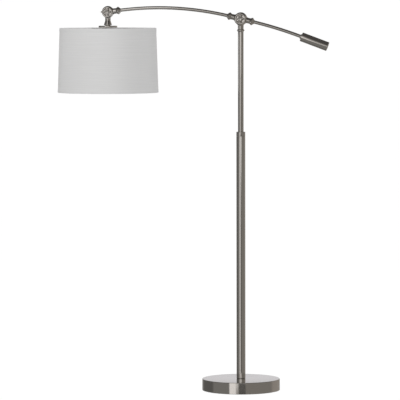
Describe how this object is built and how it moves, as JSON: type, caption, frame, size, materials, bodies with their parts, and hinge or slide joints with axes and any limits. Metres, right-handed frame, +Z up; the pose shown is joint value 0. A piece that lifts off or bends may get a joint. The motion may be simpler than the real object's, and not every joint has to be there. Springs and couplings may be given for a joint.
{
  "type": "pharmacy floor lamp",
  "caption": "Floor lamp with a round weighted base, telescoping pole, arched counterweighted arm on a ball knuckle, and a hanging drum shade.",
  "frame": {"origin": "middle of the underside of the felt under the base, on the pole's axis", "axes": "+Z up along the pole, the shade hangs at -X and the counterweight is at +X, the clamp knobs face -Y"},
  "size_m": [1.0838, 0.4014, 1.526],
  "materials": {
    "brushed_nickel": "brushed",
    "polished_nickel": "satin polished",
    "plain_steel": "zinc plated",
    "cast_iron": "as cast",
    "felt": "felted",
    "lead_jacket": "matte",
    "nylon": "moulded",
    "brass": "drawn",
    "friction_fibre": "pressed fibre",
    "shade_lining": "satin",
    "shade_linen": "plain weave",
    "phenolic": "moulded",
    "bulb_metal": "bright",
    "bulb_glass": "frosted"
  },
  "bodies": {
    "base": {"base_cover": "brushed_nickel", "base_weight": "cast_iron", "base_felt": "felt", "base_stem": "brass", "base_washer": "plain_steel", "base_nut": "plain_steel", "cord_gland": "lead_jacket", "pole_foot": "plain_steel", "lower_tube": "brushed_nickel", "guide_bush": "nylon", "lock_collet": "nylon", "base_lead": "lead_jacket", "slack_lead": "lead_jacket"},
    "height_collar": {"height_collar": "brushed_nickel"},
    "upper_pole": {"upper_tube": "brushed_nickel", "tube_glide": "nylon", "head_plug": "plain_steel", "upper_lead": "lead_jacket"},
    "post_head": {"post_knuckle_front": "polished_nickel", "swivel_screw": "plain_steel", "post_pivot_bolt": "polished_nickel", "post_spring_washer": "plain_steel", "post_knob_cup": "polished_nickel"},
    "post_knob": {"post_knob": "polished_nickel"},
    "arm": {"post_knuckle_back": "polished_nickel", "post_friction_washer": "friction_fibre", "left_ferrule": "polished_nickel", "right_ferrule": "polished_nickel", "left_arm_rod": "brushed_nickel", "right_arm_rod": "brushed_nickel", "arm_lead": "lead_jacket", "counterweight_collar": "brushed_nickel", "counterweight": "brushed_nickel", "shade_knuckle_back": "polished_nickel", "shade_ferrule": "polished_nickel", "shade_friction_washer": "friction_fibre"},
    "thumb_screw": {"thumb_screw": "polished_nickel"},
    "shade_head": {"shade_knuckle_front": "polished_nickel", "shade_pivot_bolt": "polished_nickel", "shade_spring_washer": "plain_steel", "shade_knob_cup": "polished_nickel", "shade_cap": "polished_nickel", "stem_nipple": "brass", "shade_spider": "plain_steel", "spider_nut": "plain_steel", "shade_lining": "shade_lining", "shade_fabric": "shade_linen", "shade_top_trim": "shade_linen", "shade_bottom_trim": "shade_linen", "shade_bottom_ring": "plain_steel", "socket_cap": "brass", "socket_shell": "brass", "socket_insulator": "phenolic", "stem_lead": "lead_jacket", "bulb_base": "bulb_metal", "bulb_glass": "bulb_glass"},
    "shade_knob": {"shade_knob": "polished_nickel"},
    "socket_key": {"socket_key": "phenolic"}
  },
  "joints": [
    {"name": "height_slide", "type": "slide", "parent": "base", "child": "upper_pole", "axis": [0, 0, 1], "range_m": [-0.38, 0], "deforming": ["slack_lead"]},
    {"name": "collar_twist", "type": "hinge", "parent": "base", "child": "height_collar", "pos_m": [0, 0, 1.0195], "axis": [0, 0, 1], "range_deg": [0, 90]},
    {"name": "arm_swivel", "type": "hinge", "parent": "upper_pole", "child": "post_head", "pos_m": [0, 0, 1.429], "axis": [0, 0, 1], "range_deg": [-170, 170]},
    {"name": "arm_tilt", "type": "hinge", "parent": "post_head", "child": "arm", "pos_m": [0, 0, 1.4745], "axis": [0, 1, 0], "range_deg": [-35, 18]},
    {"name": "post_knob_turn", "type": "hinge", "parent": "post_head", "child": "post_knob", "pos_m": [0, 0, 1.4745], "axis": [0, -1, 0], "range_deg": [0, 270]},
    {"name": "shade_tilt", "type": "hinge", "parent": "arm", "child": "shade_head", "pos_m": [-0.532, 0, 1.502], "axis": [0, 1, 0], "range_deg": [-15, 35]},
    {"name": "shade_knob_turn", "type": "hinge", "parent": "shade_head", "child": "shade_knob", "pos_m": [-0.532, 0, 1.502], "axis": [0, -1, 0], "range_deg": [0, 270]},
    {"name": "thumb_screw_turn", "type": "hinge", "parent": "arm", "child": "thumb_screw", "pos_m": [-0.532, 0.006, 1.502], "axis": [-1, 0, 0], "range_deg": [0, 270]},
    {"name": "switch_turn", "type": "hinge", "parent": "shade_head", "child": "socket_key", "pos_m": [-0.532, 0, 1.4095], "axis": [1, 0, 0], "continuous": true}
  ]
}
